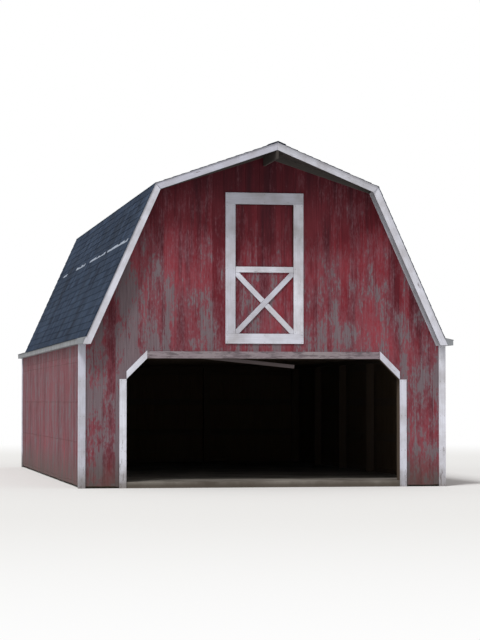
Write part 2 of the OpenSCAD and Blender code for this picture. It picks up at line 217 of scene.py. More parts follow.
def closed_tubes(name, rings, directions, start, seed, tint):
    """A mesh of closed tubes, such as boards. A point of a ring is at start + across * directions[0] +
    out * directions[1] + along * directions[2]. Quads join each ring to the next, and opposite points of
    the end rings. Attribute grain is a point's (across, out, along), shifted across and along at random
    for each tube so that no two show the same wood, and tint is one number a tube."""
    draw = np.random.default_rng(seed)
    tubes, stations, size = rings.shape[:3]
    directions = np.broadcast_to(np.asarray(directions, float), (tubes, 3, 3))
    places = np.einsum("tspd,tdw->tspw", rings, directions) + np.reshape(start, (-1, 1, 1, 3))
    index = np.arange(tubes * stations * size).reshape(tubes, stations, size)
    after = np.roll(index, -1, axis=2)
    sides = np.stack([index[:, :-1], after[:, :-1], after[:, 1:], index[:, 1:]], axis=-1)
    over, under = index[:, [0, -1], :size // 2], index[:, [0, -1], :size // 2 - 1:-1]
    ends = np.stack([over[..., :-1], over[..., 1:], under[..., 1:], under[..., :-1]], axis=-1)
    mesh = bpy.data.meshes.new(name)
    faces = np.concatenate([sides.reshape(-1, 4), ends.reshape(-1, 4)])
    mesh.from_pydata(places.reshape(-1, 3).tolist(), [], faces.tolist())
    grain = rings + draw.uniform(0, 40, (tubes, 1, 1, 3)) * (1, 0, 1)
    mesh.attributes.new("grain", "FLOAT_VECTOR", "POINT").data.foreach_set("vector", grain.ravel())
    tint = draw.uniform(0, 1, tubes) if tint is None else tint
    tint = np.broadcast_to(tint[:, None, None], index.shape)
    mesh.attributes.new("tint", "FLOAT", "POINT").data.foreach_set("value", tint.ravel())
    shell = bmesh.new()
    shell.from_mesh(mesh)
    bmesh.ops.recalc_face_normals(shell, faces=shell.faces)
    shell.to_mesh(mesh)
    shell.free()
    return mesh


def new_object(name, data):
    """An object at the origin, linked to the scene."""
    made = bpy.data.objects.new(name, data)
    bpy.context.scene.collection.objects.link(made)
    return made


def fit(name, rings, directions, start, seed, finish, *nodes, tint=None):
    """Puts closed tubes into the building as a piece, in place of CAD nodes. A finish is (material, slot);
    the slot is not used.
    """
    mesh = closed_tubes(name, rings, directions, start, seed, tint)
    material, slot = finish
    mesh.materials.append(material)
    piece = new_object(name, mesh)
    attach(piece, "root")
    if nodes:
        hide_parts(*nodes)


def toned(add, colour, pattern, span, tones):
    """A colour times a tone, which goes from the first to the second as the pattern crosses its span."""
    tone = add("MapRange", {"Value": pattern, "From Min": span[0], "From Max": span[1],
                            "To Min": tones[0], "To Max": tones[1]})
    return add("VectorMath", {0: colour, "Scale": tone}, operation="SCALE")


def marks_of(add):
    """What attributes grain and tint say of a point."""
    return (add("Attribute", output="Vector", attribute_name="grain"),
            add("Attribute", output="Fac", attribute_name="tint"))


def board_wood(name, dark, pale):
    """Rough boards that follow attribute grain, from a dark to a pale colour. Fibres are drawn 11 mm wide."""
    material, add = start_finish(name)
    grain, tint = marks_of(add)
    fibres = drawn_out(add, grain, (90.0, 90.0, 2.0), 6.0, 0.6)
    colour = toned(add, coated(add, dark, (fibres, pale)), tint, (0.0, 1.0), (0.75, 1.1))
    end_finish(add, fibres, 0.4, 0.002, {"Base Color": colour, "Roughness": 0.88})
    return material


floor_low, floor_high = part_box("loft_floor")
loft_count = round((floor_high.x - floor_low.x) / LOFT_BOARD_W)
loft_columns = columns_between(np.linspace(floor_low.x, floor_high.x, loft_count + 1))
loft_rings = board_rings(loft_columns, floor_high.z - floor_low.z, level(floor_low.y), level(floor_high.y),
                         warp=0.001, seed=11)
fit("loft_floor_boards", loft_rings, LYING_ALONG_Y, (0, 0, floor_low.z), 12,
    (board_wood("sawn_floor_boards", "#30271F", "#5C4C3C"), "framing_timber"), "loft_floor")


# The wall boards
# Rough sawn boards 22 mm thick and 7 to 8 inches wide, upright and close together, nailed to the girts.
# Red barn paint, thin over the saw marks, has faded and worn through to grey wood, most of all low down.
BOARD_W = 0.19
BOARD_VARIES = 0.022
RAGGED = 0.012
FRONT_Y = (-6.08, -6.10)
FACING_FRONT = [(1, 0, 0), (0, -1, 0), (0, 0, 1)]
FACING_REAR = [(1, 0, 0), (0, 1, 0), (0, 0, 1)]
FACING_LEFT = [(0, 1, 0), (-1, 0, 0), (0, 0, 1)]
FACING_RIGHT = [(0, 1, 0), (1, 0, 0), (0, 0, 1)]


def summed(add, total, *parts):
    """A total to which is added, for each part of (pattern, weight), the pattern times the weight."""
    for pattern, weight in parts:
        total = add("Math", {0: pattern, 1: weight, 2: total}, operation="MULTIPLY_ADD")
    return total


def barn_paint():
    """Red oxide barn paint, matt on rough boards. It differs from board to board, has faded in clouds,
    thinned along the grain and flaked off, most of all low down and on the front's left. Under the hood it
    wears a little less and darkens with height: partly paint kept from fading, partly painted shade of the
    hood. The boards' backs are bare wood: attribute grain tells how deep in the board a point lies. Fibres
    are drawn 10 mm wide, and flakes 180 by 500 mm."""
    material, add = start_finish("barn_red_paint")
    place = add("TexCoord", output="Object")
    across, lengthwise, height = (add("SeparateXYZ", {"Vector": place}, output=axis) for axis in "XYZ")
    grain, tint = marks_of(add)
    depth = add("SeparateXYZ", {"Vector": grain}, output="Y")
    fibres = drawn_out(add, grain, (95.0, 95.0, 2.2), 7.0, 0.62)
    bands = drawn_out(add, grain, (24.0, 24.0, 0.8), 3.0)
    specks = drawn_out(add, grain, (42.0, 42.0, 14.0), 5.0, 0.6)
    clouds = add("TexNoise", {"Vector": place, "Scale": 0.8, "Detail": 5.0, "Roughness": 0.55})
    flakes = drawn_out(add, place, (5.5, 5.5, 2.0), 9.0, 0.7, (2.7, 0.0, 2.1))
    runs = drawn_out(add, place, (7.0, 7.0, 0.5), 6.0, 0.6)

    # Wear is a sum of patterns: the paint thins where it is high, and is gone where it is higher still.
    in_front = add("MapRange", {"Value": lengthwise, "From Min": FRONT_Y[0], "From Max": FRONT_Y[1]})
    weather = add("MapRange", {"Value": across, "From Min": 0.8, "From Max": -2.4, "To Max": in_front})
    reach = summed(add, height, (weather, -0.55))
    low_down = add("MapRange", {"Value": reach, "From Min": 4.6, "From Max": 2.5})
    share = summed(add, 0.14, (weather, 0.09))
    # Under the hood the paint wears a little less and darkens with height: partly kept from fading, partly
    # painted shade of the hood.
    sheltered = add("MapRange", {"Value": height, "From Min": 3.7, "From Max": 5.0, "To Max": 0.75})
    worn = add("Math", {0: low_down, 1: share}, operation="MULTIPLY")
    worn = summed(add, worn, (sheltered, -0.08), (tint, 0.17), (flakes, 1.0), (specks, 0.45), (fibres, 0.35),
                  (bands, 0.25))
    thin = add("MapRange", {"Value": worn, "From Min": 1.09, "From Max": 1.29, "To Max": 0.55})
    bare = add("MapRange", {"Value": worn, "From Min": 1.28, "From Max": 1.35, "To Max": 0.9})

    faded = add("MapRange", {"Value": clouds, "From Min": 0.42, "From Max": 0.68, "To Max": 0.65})
    stained = add("MapRange", {"Value": runs, "From Min": 0.45, "From Max": 0.66, "To Max": 0.75})
    paint = coated(add, "#561520", (tint, "#82242F"), (faded, "#98404A"), (sheltered, "#45121C"),
                   (stained, "#33111B"), (thin, "#7B535C"))
    paint = toned(add, paint, fibres, (0.25, 0.75), (0.7, 1.2))
    wood = coated(add, "#41363C", (fibres, "#877C81"))
    reach = summed(add, height, (flakes, -0.7))
    splash = add("MapRange", {"Value": reach, "From Min": 0.25, "From Max": -0.3, "To Max": 0.7})
    face = coated(add, paint, (bare, wood), (splash, "#4C433D"))
    painted = add("MapRange", {"Value": depth, "From Min": 0.011, "From Max": 0.015})
    colour = coated(add, "#3A2E25", (fibres, "#74614D"), (painted, face))
    film = summed(add, fibres, (bare, -0.6))
    roughness = add("MapRange", {"Value": bare, "To Min": 0.74, "To Max": 0.92})
    end_finish(add, film, 0.6, 0.002,
               {"Base Color": colour, "Roughness": roughness, "Specular IOR Level": 0.2})
    return material


def random_joints(start, end, seed):
    """Joints of boards that fill a stretch: even steps near the boards' width, each then moved at random,
    because boards are as wide as their logs gave."""
    joints = np.linspace(start, end, round((end - start) / BOARD_W) + 1)
    joints[1:-1] += np.random.default_rng(seed).uniform(-BOARD_VARIES, BOARD_VARIES, len(joints) - 2)
    return joints


def wall_rings(segments, thick, folds=(), seed=1):
    """Rings of upright boards for segments (from, to, foot, top) along a wall, foot and top being cuts."""
    return np.concatenate([
        board_rings(columns_between(random_joints(start, end, seed + number), folds), thick, foot, top,
                    warp=0.002, seed=seed + number)
        for number, (start, end, foot, top) in enumerate(segments)])


def ragged_foot(height, seed):
    """A cut across boards' feet at the ground: each board is cut a little short at random, and frayed."""
    def foot(across, out):
        draw = np.random.default_rng(seed)
        short = draw.uniform(0, RAGGED, (len(across), 1))
        half = draw.uniform(-RAGGED / 4, RAGGED / 4, (len(across), across.shape[1] // 2))
        return height + RAGGED / 4 + short + np.concatenate([half, half[:, ::-1]], axis=1)
    return foot


# The roof's planes bound the walls: two slopes a side, from the pitches and the shingles' top and foot.
UPPER_PITCH = math.radians(18.0)
LOWER_PITCH = math.radians(65.8)
SHINGLE_T = 0.010
DECK_T = 0.019
DECK_D = SHINGLE_T + DECK_T
shingles_low, shingles_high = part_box("right_shingles")
deck_low, deck_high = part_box("right_roof_deck")
ridge_z = shingles_high.z
eave_z = shingles_low.z
foot_x = shingles_high.x
knee_x = ((eave_z + foot_x * math.tan(LOWER_PITCH) - ridge_z)
          / (math.tan(LOWER_PITCH) - math.tan(UPPER_PITCH)))
knee_z = ridge_z - knee_x * math.tan(UPPER_PITCH)
upper_l = knee_x / math.cos(UPPER_PITCH)
lower_l = (foot_x - knee_x) / math.cos(LOWER_PITCH)
rake_y = deck_high.y
hood_y = deck_low.y
inner_knee = knee_x - DECK_D * math.sin((UPPER_PITCH + LOWER_PITCH) / 2)


def roof_z(x, depth):
    """Height over X of the lower of the two slopes' planes, at a depth square to them."""
    upper = ridge_z - abs(x) * math.tan(UPPER_PITCH) - depth / math.cos(UPPER_PITCH)
    lower = eave_z + (foot_x - abs(x)) * math.tan(LOWER_PITCH) - depth / math.cos(LOWER_PITCH)
    return np.minimum(upper, lower)


def under_deck(across, out):
    """A cut along the underside of the roof deck."""
    return roof_z(across, DECK_D)


def over_doorway(across, out):
    """A cut along the doorway's head and its slanted corners."""
    return np.minimum(door_h, corner_z + (door_x - abs(across)))


LEAF_GAP = 0.004
left_low, left_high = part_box("left_wall")
rear_low, rear_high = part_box("rear_wall")
head_low, head_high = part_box("door_head_casing")
jamb_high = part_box("door_casings")[1]
upper_leaf_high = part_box("loft_door_upper")[1]
half_w, half_l = -left_low.x, -left_low.y
back_x, back_y = rear_high.x, rear_low.y
board_t = left_high.x - left_low.x
ground_gap, wall_top = left_low.z, left_high.z
door_x, door_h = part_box("front_wall_over")[1].x, head_low.z
corner_x, corner_z = head_high.x, jamb_high.z
loft_x, lintel_z = upper_leaf_high.x + LEAF_GAP, upper_leaf_high.z + LEAF_GAP
sill_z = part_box("loft_door_lower")[0].z - LEAF_GAP
red = (barn_paint(), "wall_boards")
folds = (-inner_knee, inner_knee, -corner_x, corner_x)
front_rings = wall_rings([
    (-back_x, -door_x, ragged_foot(ground_gap, 21), under_deck),
    (-door_x, -loft_x, over_doorway, under_deck),
    (-loft_x, loft_x, over_doorway, level(sill_z)),
    (-loft_x, loft_x, level(lintel_z), under_deck),
    (loft_x, door_x, over_doorway, under_deck),
    (door_x, back_x, ragged_foot(ground_gap, 22), under_deck),
], board_t, folds, seed=31)
fit("front_wall_boards", front_rings, FACING_FRONT, (0, -back_y, 0), 41, red, "front_wall_left",
    "front_wall_right", "front_wall_over")
rear_rings = wall_rings([(-back_x, back_x, ragged_foot(ground_gap, 23), under_deck)], board_t, folds, seed=51)
fit("rear_wall_boards", rear_rings, FACING_REAR, (0, back_y, 0), 42, red, "rear_wall")
side_rings = {}
for side, node, facing, seed in ((-1, "left_wall", FACING_LEFT, 61), (1, "right_wall", FACING_RIGHT, 71)):
    segment = (-half_l, half_l, ragged_foot(ground_gap, seed), level(wall_top))
    side_rings[side] = wall_rings([segment], board_t, seed=seed)
    fit(node + "_boards", side_rings[side], facing, (side * back_x, 0, 0), seed, red, node)


# The nails
# Two steel nails hold each wall board at each rail behind it: the girts, the plate or header, and the end
# rafters under the roof. Their heads, 9 mm across, have rusted dark brown.
NAIL_R = 0.0045
NAIL_UP = 0.0012
NAIL_SUNK = 0.003
NAIL_IN = 0.035
GIRT_W = 0.140
GIRT_ROWS = 4
RAFTER_H = 0.140
ABOVE_PLATE = 0.05


def rusted_steel():
    """Iron oxide on a nail head: matt, dark, and mottled about 4 mm apart."""
    material, add = start_finish("rusted_nail_steel")
    place = add("TexCoord", output="Object")
    spots = add("TexNoise", {"Vector": place, "Scale": 250.0, "Detail": 3.0})
    colour = coated(add, "#2A1A16", (spots, "#6B4634"))
    end_finish(add, spots, 0.4, 0.001, {"Base Color": colour, "Roughness": 0.8, "Metallic": 0.2})
    return material


def nail_heads(name, spots, facing, distance, slot):
    """Short six-sided tubes that stand out of a face, at a distance from the middle. Spots are (across,
    height) on it; a head's rim is a circle of six points round its spot."""
    turn = np.arange(6) * math.pi / 3
    across = spots[:, 0, None, None] + NAIL_R * np.cos(turn)
    height = spots[:, 1, None, None] + NAIL_R * np.sin(turn)
    out = np.array([-NAIL_SUNK, NAIL_UP])[None, :, None]
    fit(name, points(across, height, out), [facing[0], facing[2], facing[1]],
        np.multiply(facing[1], distance), 91, (rust, slot))


def nail_pairs(rings, rails):
    """Two spots on each board, near its edges: at each rail's height, where the board is there, and on the
    middle line of the end rafter, where the board reaches the roof."""
    edges = rings[:, 0, [0, 5], 0].T + [[NAIL_IN], [-NAIL_IN]]
    low, high = rings[:, 0, FACE, 2].max(axis=1), rings[:, -1, FACE, 2].min(axis=1)
    rails = np.array(rails)[:, None]
    on_rails = points(edges[:, None], rails)[:, (rails > low + NAIL_IN) & (rails < high - NAIL_IN)]
    tops = rings[:, -1, FACE, 2].max(axis=1)
    line = roof_z(edges, DECK_D + RAFTER_H / 2)
    on_rafter = points(edges, line)[(tops > wall_top + ABOVE_PLATE) & (tops > line)]
    return np.concatenate([on_rails.reshape(-1, 2), on_rafter])


rust = rusted_steel()
girt_low, girt_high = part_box("side_girts")
girt_heights = np.linspace(girt_low.z, girt_high.z - GIRT_W, GIRT_ROWS) + GIRT_W / 2
for wall, rings, facing, distance, rail in (
        ("front_wall", front_rings, FACING_FRONT, half_l, "door_header"),
        ("rear_wall", rear_rings, FACING_REAR, half_l, "door_header"),
        ("left_wall", side_rings[-1], FACING_LEFT, half_w, "side_plates"),
        ("right_wall", side_rings[1], FACING_RIGHT, half_w, "side_plates")):
    rail_z = sum(corner.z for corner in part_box(rail)) / 2
    nail_heads(wall + "_nails", nail_pairs(rings, [*girt_heights, rail_z]), facing, distance, "wall_boards")


# The loft door
# Two leaves of upright boards in a plain opening, the upper one set back against its stops. They hang in the
# shade of the hood, and their red is darker there: partly paint kept from fading, partly painted shade.
for node, seed in (("loft_door_upper", 81), ("loft_door_lower", 82)):
    low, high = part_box(node)
    rings = board_rings(columns_between(random_joints(low.x, high.x, seed)), high.y - low.y,
                        level(low.z), level(high.z), warp=0.0015, seed=seed)
    fit(node + "_boards", rings, FACING_FRONT, (0, high.y, 0), seed, red, node)


# The white trim
# Sawn boards 22 mm thick, eased at the edges and painted white: casings, corner boards, rakes and friezes.
# The paint has gone chalky, shows the grain, and has flaked to grey wood, most of all low down.
TRIM_T = 0.022
LYING_ON_FRONT = [(0, 0, 1), (0, -1, 0), (1, 0, 0)]
JOINT = 0.003
CORNER_GAP = 0.001
SLANT_W = 0.092
HALF_ROOT = math.sqrt(0.5)
LOOSE_W = 0.060
LOOSE_L = 2.350
LOOSE_DROP = 0.240
TRIM_NAIL_IN = 0.026
TRIM_NAIL_STEP = 0.55
CROSS_W = 0.085
RAIL_W = 0.095


def white_paint(name, wear, dull, bright, worn_to):
    """Chalky white paint over sawn wood, between a dull and a bright colour, flaked along the grain down to
    wood that is as pale as the last colour. Wear raises how much of it is gone. Fibres are drawn 9 mm wide,
    and flakes 45 by 290 mm."""
    material, add = start_finish(name)
    place = add("TexCoord", output="Object")
    height = add("SeparateXYZ", {"Vector": place}, output="Z")
    grain, tint = marks_of(add)
    fibres = drawn_out(add, grain, (110.0, 110.0, 2.5), 6.0, 0.62)
    flakes = drawn_out(add, grain, (22.0, 22.0, 3.5), 9.0, 0.7)
    grime = add("TexNoise", {"Vector": place, "Scale": 2.4, "Detail": 6.0, "Roughness": 0.6})
    dirty = add("MapRange", {"Value": grime, "From Min": 0.4, "From Max": 0.7, "To Max": 0.6})
    paint = coated(add, dull, (tint, bright), (dirty, "#96908F"))
    paint = toned(add, paint, fibres, (0.3, 0.7), (0.84, 1.05))
    wood = coated(add, "#4B4345", (fibres, worn_to))
    low_down = add("MapRange", {"Value": height, "From Min": 1.2, "From Max": 0.0, "To Max": 0.1})
    worn = summed(add, low_down, (flakes, 1.0), (fibres, 0.4))
    bare = add("MapRange", {"Value": worn, "From Min": 0.9 - wear, "From Max": 0.96 - wear, "To Max": 0.9})
    reach = summed(add, height, (grime, -0.5))
    splash = add("MapRange", {"Value": reach, "From Min": 0.1, "From Max": -0.25, "To Max": 0.65})
    colour = coated(add, paint, (bare, wood), (splash, "#5F554B"))
    film = summed(add, fibres, (bare, -0.6))
    end_finish(add, film, 0.45, 0.0015, {"Base Color": colour, "Roughness": 0.75, "Specular IOR Level": 0.3})
    return material


def single(low, high):
    """The six columns of one board between its two edges."""
    return columns_between(np.array([low, high]))


def trim_board(low, high, start, end, warp=0.0, seed=1):
    """Rings of one trim board between two edges, with square ends."""
    return board_rings(single(low, high), TRIM_T, level(start), level(end), warp=warp, seed=seed)


# The white is tinted cool blue-grey: partly chalky paint, partly painted blue shade light.
white = (white_paint("chalky_white_paint", 0.05, "#BCBDCA", "#DDDEE8", "#8B8588"), "white_trim")
trim_w = jamb_high.x - door_x
outer_x, outer_y = half_w + TRIM_T, half_l + TRIM_T

# Corner boards lap: one on the end wall covers the edge of one on the side wall.
for name, end, facing in (("front_corner_boards", -1, FACING_FRONT), ("rear_corner_boards", 1, FACING_REAR)):
    rings, directions, starts = [], [], []
    for side, side_facing in ((-1, FACING_LEFT), (1, FACING_RIGHT)):
        on_end = sorted([side * (outer_x - trim_w), side * outer_x])
        on_side = sorted([end * (outer_y - trim_w), end * (half_l - CORNER_GAP)])
        rings += [trim_board(*edges, 0.0, wall_top) for edges in (on_end, on_side)]
        directions += [facing, side_facing]
        starts += [(0, end * half_l, 0), (side * half_w, 0, 0)]
    fit(name + "_trim", np.concatenate(rings), directions, starts, 97 + end, white, name)

# Casings stand beside the doorway, and short boards lie slantwise across its upper corners.
jambs = [(-door_x - trim_w, -door_x, 0.0, corner_z), (door_x, door_x + trim_w, 0.0, corner_z)]
fit("door_jamb_trim", np.concatenate([trim_board(*jamb) for jamb in jambs]), FACING_FRONT,
    (0, -half_l, 0), 102, white, "door_casings")
slant_run = (door_x - corner_x - JOINT) / HALF_ROOT
slant_rings = board_rings(single(0.0, SLANT_W), TRIM_T, lambda across, out: across,
                          lambda across, out: across + slant_run)
slant_directions = [[(side * HALF_ROOT, 0, HALF_ROOT), (0, -1, 0), (-side * HALF_ROOT, 0, HALF_ROOT)]
                    for side in (-1, 1)]
fit("door_slant_trim", np.concatenate([slant_rings, slant_rings]), slant_directions,
    [(side * door_x, -half_l, corner_z) for side in (-1, 1)], 104, white, "door_slant_boards")

# The head casing is worn almost bare. Inside the header, a stop board has come loose at one end.
worn_white = (white_paint("worn_white_paint", 0.21, "#7F7278", "#908389", "#6C6065"), "head_trim")
head_rings = trim_board(head_low.z, head_high.z, head_low.x, head_high.x, warp=0.001, seed=105)
fit("door_head_trim", head_rings, LYING_ON_FRONT, (0, -half_l, 0), 106, worn_white, "door_head_casing")
# The loose board is coloured dark grey: partly bare weathered wood, partly painted shade of the doorway.
bare_grey = (white_paint("bare_grey_board", 0.4, "#62575A", "#6E6263", "#5C5150"), "head_trim")
loose_low, loose_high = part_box("loose_head_board")
loose_rings = board_rings(single(0.0, LOOSE_W), loose_high.y - loose_low.y, level(0.0), level(LOOSE_L))
slope = LOOSE_DROP / LOOSE_L
flat = math.cos(math.asin(slope))
fit("loose_stop_board", loose_rings, [(slope, 0, flat), (0, 1, 0), (flat, 0, -slope)],
    (loose_low.x, loose_low.y, loose_low.z + LOOSE_DROP), 108, bare_grey, "loose_head_board")

# The loft door's casing is four boards: the head and the apron run over the ends of the jambs.
casing_low, casing_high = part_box("loft_door_casing")
lying = [(casing_low.x, casing_high.x, casing_low.z, sill_z),
         (casing_low.x, casing_high.x, lintel_z, casing_high.z)]
standing = [(casing_low.x, -loft_x, sill_z, lintel_z), (loft_x, casing_high.x, sill_z, lintel_z)]
casing_rings = [trim_board(foot, top, left, right) for left, right, foot, top in lying]
casing_rings += [trim_board(*board) for board in standing]
fit("loft_door_trim", np.concatenate(casing_rings), [LYING_ON_FRONT] * 2 + [FACING_FRONT] * 2,
    (0, -half_l, 0), 114, white, "loft_door_casing")


# Trim boards are nailed near both edges, in pairs some half a metre apart.
def nails_along(boards):
    """Spots in a grid on boards given as (left, right, foot, top): a row near each edge, and in the longer
    direction as many as come nearest to the step."""
    spots = []
    for left, right, foot, top in boards:
        across, up = (np.linspace(low + TRIM_NAIL_IN, high - TRIM_NAIL_IN,
                                  max(2, round((high - low) / TRIM_NAIL_STEP) + 1))
                      for low, high in ((left, right), (foot, top)))
        spots.append(np.stack(np.meshgrid(across, up), axis=-1).reshape(-1, 2))
    return np.concatenate(spots)


end_corners, side_corners = (
    [(-outer, -outer + trim_w, 0.0, wall_top), (outer - trim_w, outer, 0.0, wall_top)]
    for outer in (outer_x, outer_y))
head = (head_low.x, head_high.x, head_low.z, head_high.z)
front_boards = [*end_corners, *jambs, head, *standing, *lying]
for name, boards, facing, distance in (
        ("front_trim_nails", front_boards, FACING_FRONT, outer_y),
        ("rear_trim_nails", end_corners, FACING_REAR, outer_y),
        ("left_trim_nails", side_corners, FACING_LEFT, outer_x),
        ("right_trim_nails", side_corners, FACING_RIGHT, outer_x)):
    nail_heads(name, nails_along(boards), facing, distance, "white_trim")

# On the lower leaf a rail and crossed boards are nailed: one arm is whole, the other butts against it.
cross_low, cross_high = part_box("loft_door_cross")
field_x = cross_high.x
field_low, field_high = cross_low.z, cross_high.z - RAIL_W - JOINT
field_z = (field_high - field_low) / 2
tilt = math.atan2(field_z, field_x)
arm_meet = (CROSS_W / 2 + JOINT) / math.sin(2 * tilt)


def field_edge(end, pick):
    """A cut where a diagonal board's near (-1) or far (1) end meets the edges of the field: of an upright
    edge and a level one, the pick of where they lie along the board."""
    return lambda across, out: pick((end * field_x + across * math.sin(tilt)) / math.cos(tilt),
                                    (end * field_z - across * math.cos(tilt)) / math.sin(tilt))


def whole_arm_edge(end):
    """A cut where half an arm butts against the whole one."""
    return lambda across, out: end * arm_meet + across / math.tan(2 * tilt)


arm_foot, arm_top = field_edge(-1, np.maximum), field_edge(1, np.minimum)
arm_cuts = ((arm_foot, arm_top), (arm_foot, whole_arm_edge(-1)), (whole_arm_edge(1), arm_top))
arm_columns = columns_between(np.array([-CROSS_W / 2, CROSS_W / 2]), (0.0,))
cross_rings = [trim_board(cross_high.z - RAIL_W, cross_high.z, -field_x, field_x)]
cross_rings += [board_rings(arm_columns, TRIM_T, foot, top) for foot, top in arm_cuts]
long_arm, short_arm = (
    [(-turn * math.sin(tilt), 0, math.cos(tilt)), (0, -1, 0), (turn * math.cos(tilt), 0, math.sin(tilt))]
    for turn in (1, -1))
arm_start = (0, cross_high.y, (field_low + field_high) / 2)
fit("loft_door_cross_trim", np.concatenate(cross_rings), [LYING_ON_FRONT, long_arm, short_arm, short_arm],
    [(0, cross_high.y, 0), arm_start, arm_start, arm_start], 123, white, "loft_door_cross")


# The roof deck
# Boards 19 mm thick and 184 mm wide, nailed along the barn over the rafters and never painted. Outside the
# walls they are dark, partly with damp and partly as painted shade of the overhang; inside they are brown.
DECK_BOARD_W = 0.184
DECK_LENGTHS = 4
DECK_STAGGER = 0.9
BUTT_GAP = 0.001


def slope_directions(side, pitch):
    """Down the slope, out of it and along the barn, for the right (1) or left (-1) side."""
    return [(side * math.cos(pitch), 0, -math.sin(pitch)),
            (side * math.sin(pitch), 0, math.cos(pitch)), (0, 1, 0)]


def both_slopes(side, upper, lower):
    """The rings of one side's two slopes, and for each its directions and where it starts."""
    counts = (len(upper), len(lower))
    directions = [slope_directions(side, pitch) for pitch in (UPPER_PITCH, LOWER_PITCH)]
    starts = [(0, 0, ridge_z), (side * knee_x, 0, knee_z)]
    return np.concatenate([upper, lower]), np.repeat(directions, counts, 0), np.repeat(starts, counts, 0)


def hood_edge(ridge_end, knee_end):
    """A cut at the front end of the upper slope: it runs straight from the ridge to the knee."""
    return lambda down, out: knee_end + (ridge_end - knee_end) * (1 - down / upper_l)


def deck_wood():
    """Softwood, dark outside the walls, partly with damp and partly as painted shade of the overhang, and
    bare brown inside. Fibres are drawn 11 mm wide.
    """
    material, add = start_finish("soffit_boards")
    place = add("TexCoord", output="Object")
    parts = add("VectorMath", {0: place}, operation="ABSOLUTE")
    from_middle = add("SeparateXYZ", {"Vector": parts}, output="Y")
    grain = add("Attribute", output="Vector", attribute_name="grain")
    fibres = drawn_out(add, grain, (90.0, 90.0, 2.0), 6.0, 0.6)
    stains = add("TexNoise", {"Vector": place, "Scale": 3.0, "Detail": 6.0, "Roughness": 0.65})
    # Outside the walls the wood darkens to these colours: damp, and painted shade of the overhang.
    damp = toned(add, coated(add, "#4F4945", (stains, "#2E2A28")), fibres, (0.3, 0.7), (0.82, 1.06))
    outside = add("Math", {0: from_middle, 1: half_l}, operation="GREATER_THAN")
    colour = coated(add, "#44372C", (fibres, "#7B6752"), (outside, damp))
    end_finish(add, fibres, 0.4, 0.002, {"Base Color": colour, "Roughness": 0.9, "Specular IOR Level": 0.3})
    return material


def deck_rings(length, front, seed):
    """Rings of one slope's boards. Each course is cut into lengths, with their joints staggered at random."""
    draw = np.random.default_rng(seed)
    columns = columns_between(np.linspace(0, length, round(length / DECK_BOARD_W) + 1))
    meets = (np.linspace(-rake_y, rake_y, DECK_LENGTHS + 1)[1:-1, None, None]
             + draw.uniform(-DECK_STAGGER, DECK_STAGGER, (1, len(columns), 1)))
    lows = [front] + [level(meet + BUTT_GAP) for meet in meets]
    highs = [level(meet - BUTT_GAP) for meet in meets] + [level(rake_y)]
    rings = np.concatenate([board_rings(columns, DECK_T, *cuts, stations=3) for cuts in zip(lows, highs)])
    rings[..., 1] -= DECK_D
    return rings


soffit = (deck_wood(), "roof_boards")
upper_deck = deck_rings(upper_l, hood_edge(hood_y, -rake_y), 131)
lower_deck = deck_rings(lower_l, level(-rake_y), 141)
for side, node in ((-1, "left_roof_deck"), (1, "right_roof_deck")):
    fit(node + "_boards", *both_slopes(side, upper_deck, lower_deck), 151 + side, soffit, node)


# Rakes, barge rafters and friezes
# The rake boards close the ends of the roof and, in front, follow the slanted edge of the hood. Barge rafters
# behind them carry the overhang, and friezes lie on the wall under the deck. All are mitred at the knee. The
# barge rafters and the friezes of the upper slopes are coloured as dark unpainted wood: partly weathering,
# partly painted shade of the hood.
RAKE_W = 0.115
BARGE_T = 0.038
BARGE_H = 0.089
FRIEZE_W = 0.090
RIDGE_HALF_T = 0.019
HALF_MITRE = math.tan((LOWER_PITCH - UPPER_PITCH) / 2)


def slope_boards(facing, edge, out_low, out_high, top, width, plumb, seed):
    """Rings, directions and starts of the two boards on the upper slopes, and the same of those on the lower
    ones. Edge is their line along Y at the ridge and at the knee, out_low and out_high their faces square to
    that line, and top and width their place under the roof's outer surface. A cut lies where the distance
    down the slope is a + b * across: plumb at the ridge, on the mitre at the knee, and level at the foot."""
    slopes = (
        (UPPER_PITCH, math.atan2(edge[1] - edge[0], upper_l), (0, edge[0], ridge_z),
         (plumb / math.cos(UPPER_PITCH), -math.tan(UPPER_PITCH)), (upper_l - JOINT / 2, HALF_MITRE)),
        (LOWER_PITCH, 0.0, (knee_x, edge[1], knee_z), (JOINT / 2, -HALF_MITRE),
         ((knee_z - wall_top) / math.sin(LOWER_PITCH), 1 / math.tan(LOWER_PITCH))))
    boards = []
    for pitch, turn, start, *cuts in slopes:
        sin, cos = facing * math.sin(turn), math.cos(turn)
        low, high = (lambda across, out, a=a, b=b: (a + b * across + sin * (out + out_low)) / cos
                     for a, b in cuts)
        rings = board_rings(single(-top - width, -top), out_high - out_low, low, high, warp=0.001, seed=seed)
        rings[..., 1] += out_low
        directions = []
        for side in (-1, 1):
            down, out, along = np.array(slope_directions(side, pitch))
            along = facing * along
            directions.append([out, cos * along - sin * down, cos * down + sin * along])
        boards.append((np.concatenate([rings, rings]), directions,
                       [start * np.array([side, 1, 1]) for side in (-1, 1)]))
    return boards


def fit_slope_boards(name, boards, seed, finish, *nodes):
    """Puts several of the above into the building as one piece."""
    fit(name, *(np.concatenate(parts) for parts in zip(*boards)), seed, finish, *nodes)


